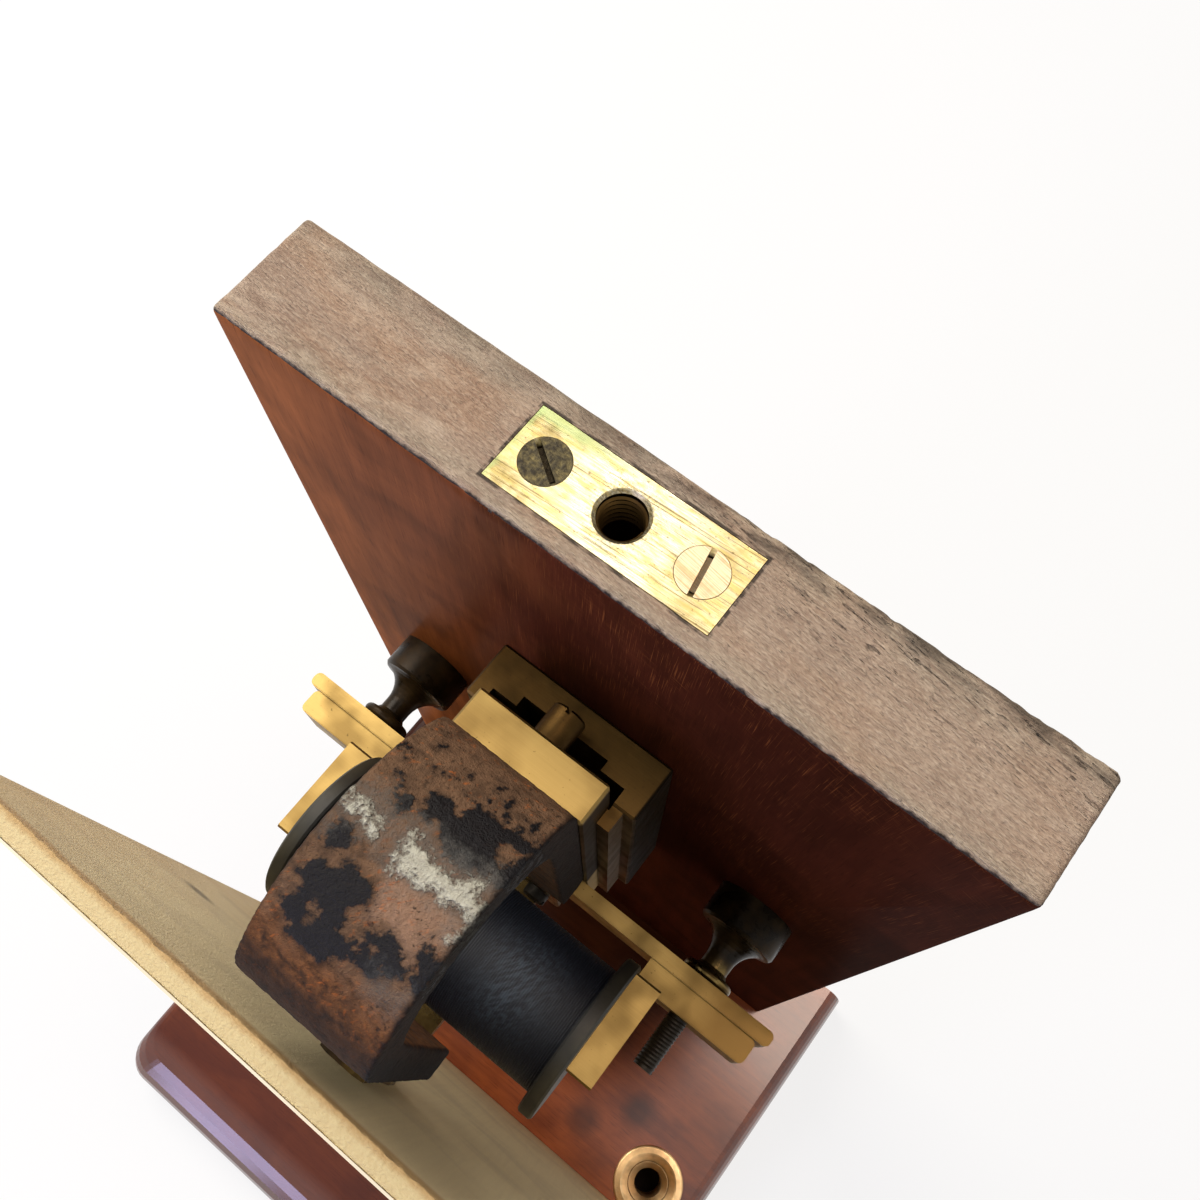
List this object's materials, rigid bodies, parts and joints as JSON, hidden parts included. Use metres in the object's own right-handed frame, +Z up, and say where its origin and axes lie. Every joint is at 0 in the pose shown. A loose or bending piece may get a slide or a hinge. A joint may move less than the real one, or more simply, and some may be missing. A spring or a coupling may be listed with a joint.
{
  "type": "signal arm repeater",
  "caption": "Uncased wooden signal arm repeater: dial board with a small semaphore arm, and behind it a horseshoe magnet, two coils and brass brackets on a mahogany backboard.",
  "frame": {"origin": "centre of the underside of the base", "axes": "+X to the right of a viewer who faces the dial, +Y from the dial to the backboard, +Z up"},
  "size_m": [0.165, 0.151, 0.274],
  "materials": {
    "base_mahogany": "polished mahogany",
    "board_mahogany": "French polished mahogany, worn top",
    "plate_brass": "brushed",
    "screw_brass": "turned, tarnished",
    "frame_brass": "satin",
    "cast_brass": "dull, tarnished",
    "pillar_brass": "turned, darkened",
    "cup_brass": "satin",
    "dial_wood": "cream paint, worn",
    "dial_paint": "cream enamel paper",
    "magnet_steel": "rusty, remains of blue-black paint",
    "ebonite": "dull, turned",
    "silk_wire": "dark silk covering",
    "core_iron": "annealed",
    "dark_steel": "darkened",
    "arbor_steel": "polished",
    "arm_paint": "red enamel"
  },
  "bodies": {
    "instrument": {"base": "base_mahogany", "left_screw_cup": "cup_brass", "right_screw_cup": "cup_brass", "backboard": "board_mahogany", "backboard_screws": "dark_steel", "nut_plate": "plate_brass", "nut_plate_screws": "screw_brass", "dial_board": "dial_wood", "dial_face": "dial_paint", "dial_screws": "screw_brass", "upright_bar": "frame_brass", "cross_strip": "frame_brass", "frame_screws": "screw_brass", "stand_off_bracket": "cast_brass", "bracket_screws": "dark_steel", "left_pillar": "pillar_brass", "right_pillar": "pillar_brass", "left_stud": "dark_steel", "right_stud": "dark_steel", "stud_washers": "screw_brass", "magnet": "magnet_steel", "magnet_screw": "pillar_brass", "left_coil_bracket": "frame_brass", "right_coil_bracket": "frame_brass", "left_bobbin": "ebonite", "right_bobbin": "ebonite", "left_winding": "silk_wire", "right_winding": "silk_wire", "left_core": "core_iron", "right_core": "core_iron", "bearing_yoke": "cast_brass", "stop_pins": "screw_brass"},
    "arm": {"arbor": "arbor_steel", "needle": "arbor_steel", "arm_collet": "screw_brass", "collet_nut": "screw_brass", "signal_arm": "arm_paint", "balance_weight": "screw_brass"}
  },
  "joints": [
    {"name": "arm_swing", "type": "hinge", "parent": "instrument", "child": "arm", "pos_m": [0, 0.0162, 0.184], "axis": [0, 1, 0], "range_deg": [-20, 20]}
  ]
}
